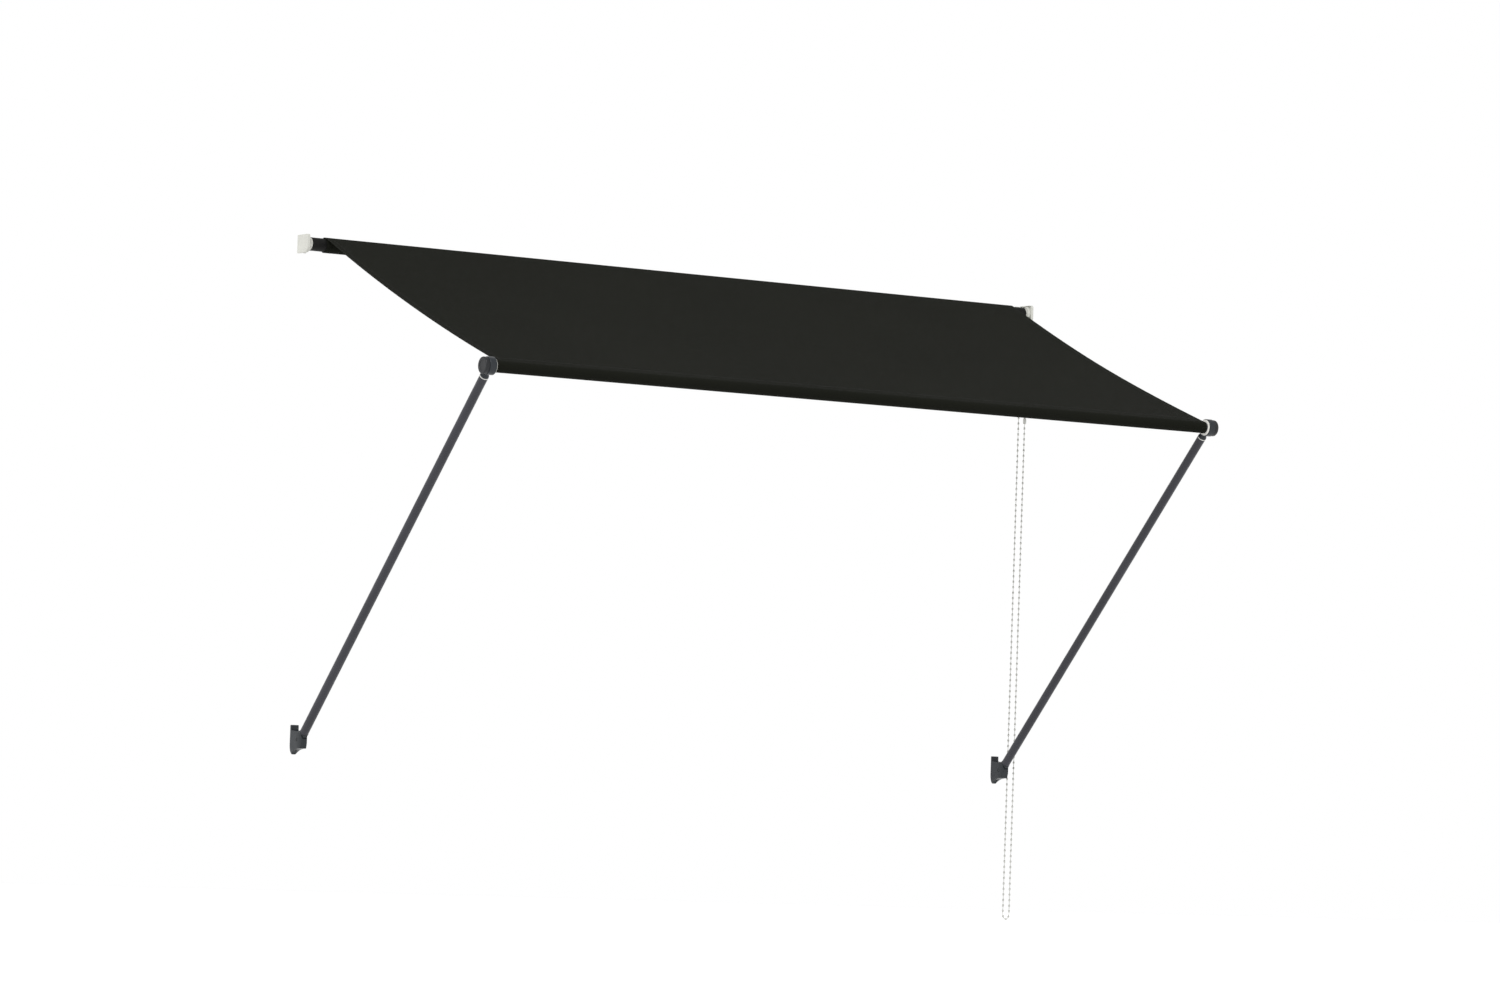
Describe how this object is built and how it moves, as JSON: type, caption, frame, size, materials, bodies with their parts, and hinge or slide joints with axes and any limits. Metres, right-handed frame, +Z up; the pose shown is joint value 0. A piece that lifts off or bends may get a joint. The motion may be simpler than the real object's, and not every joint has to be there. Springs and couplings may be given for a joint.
{
  "type": "canvas awning",
  "caption": "Wall awning whose canvas rolls out over a front bar held by swinging arms, worked by a bead chain at one end of the roller.",
  "frame": {"origin": "middle of the left roller bracket's back face, on the wall, level with the roller axis", "axes": "+X along the roller from the left bracket to the right one, +Y into the wall, +Z up"},
  "size_m": [2.5298, 1.0375, 1.8809],
  "materials": {
    "white_paint": "satin white powder coat",
    "white_plastic": "satin white moulded plastic",
    "zinc_steel": "zinc plated",
    "roller_metal": "dark anodised",
    "nylon": "white nylon",
    "canvas": "matt woven acrylic canvas, charcoal",
    "arm_paint": "satin dark grey powder coat",
    "knob_plastic": "satin dark grey moulded plastic",
    "cast_paint": "dark grey powder coat on a casting",
    "pin_steel": "steel, painted over with the casting",
    "bead_plastic": "off-white"
  },
  "bodies": {
    "wall_side": {"roller_bracket_left": "white_paint", "roller_bracket_right": "white_paint", "bracket_cover_left": "white_plastic", "bracket_cover_right": "white_plastic", "idler_pin": "zinc_steel", "clutch_core": "nylon", "chain_guard": "white_plastic", "canopy_cloth": "canvas", "wall_bracket_left": "cast_paint", "wall_bracket_right": "cast_paint", "pivot_pin_left": "pin_steel", "pivot_pin_right": "pin_steel", "bead_chain": "bead_plastic", "chain_connector": "bead_plastic"},
    "roller": {"roller_tube": "roller_metal", "idler_plug": "white_plastic", "drive_plug": "white_plastic", "chain_wheel": "nylon"},
    "arms": {"arm_collar_left": "nylon", "arm_collar_right": "nylon", "arm_tube_left": "arm_paint", "arm_tube_right": "arm_paint", "arm_knuckle_left": "cast_paint", "arm_knuckle_right": "cast_paint", "pivot_bush_left": "nylon", "pivot_bush_right": "nylon", "arm_head_left": "cast_paint", "arm_head_right": "cast_paint", "head_bush_left": "nylon", "head_bush_right": "nylon"},
    "front_bar": {"front_bar": "arm_paint", "front_bar_knob_left": "knob_plastic", "front_bar_knob_right": "knob_plastic"}
  },
  "joints": [
    {"name": "arms_swing", "type": "hinge", "parent": "wall_side", "child": "arms", "pos_m": [0, -0.04, -1.4], "axis": [-1, 0, 0], "range_deg": [0, 41.6], "deforming": ["canopy_cloth"]},
    {"name": "front_bar_turn", "type": "hinge", "parent": "arms", "child": "front_bar", "pos_m": [0, -1.0125, -0.3929], "axis": [-1, 0, 0], "range_deg": [-20.9, 0]},
    {"name": "roller_spin", "type": "hinge", "parent": "wall_side", "child": "roller", "pos_m": [0, -0.034, 0], "axis": [-1, 0, 0], "range_deg": [0, 2393]}
  ],
  "couplings": [
    {"joint": "front_bar_turn", "follows": "arms_swing", "ratio": -0.5},
    {"joint": "roller_spin", "follows": "arms_swing", "ratio": 57.5}
  ]
}
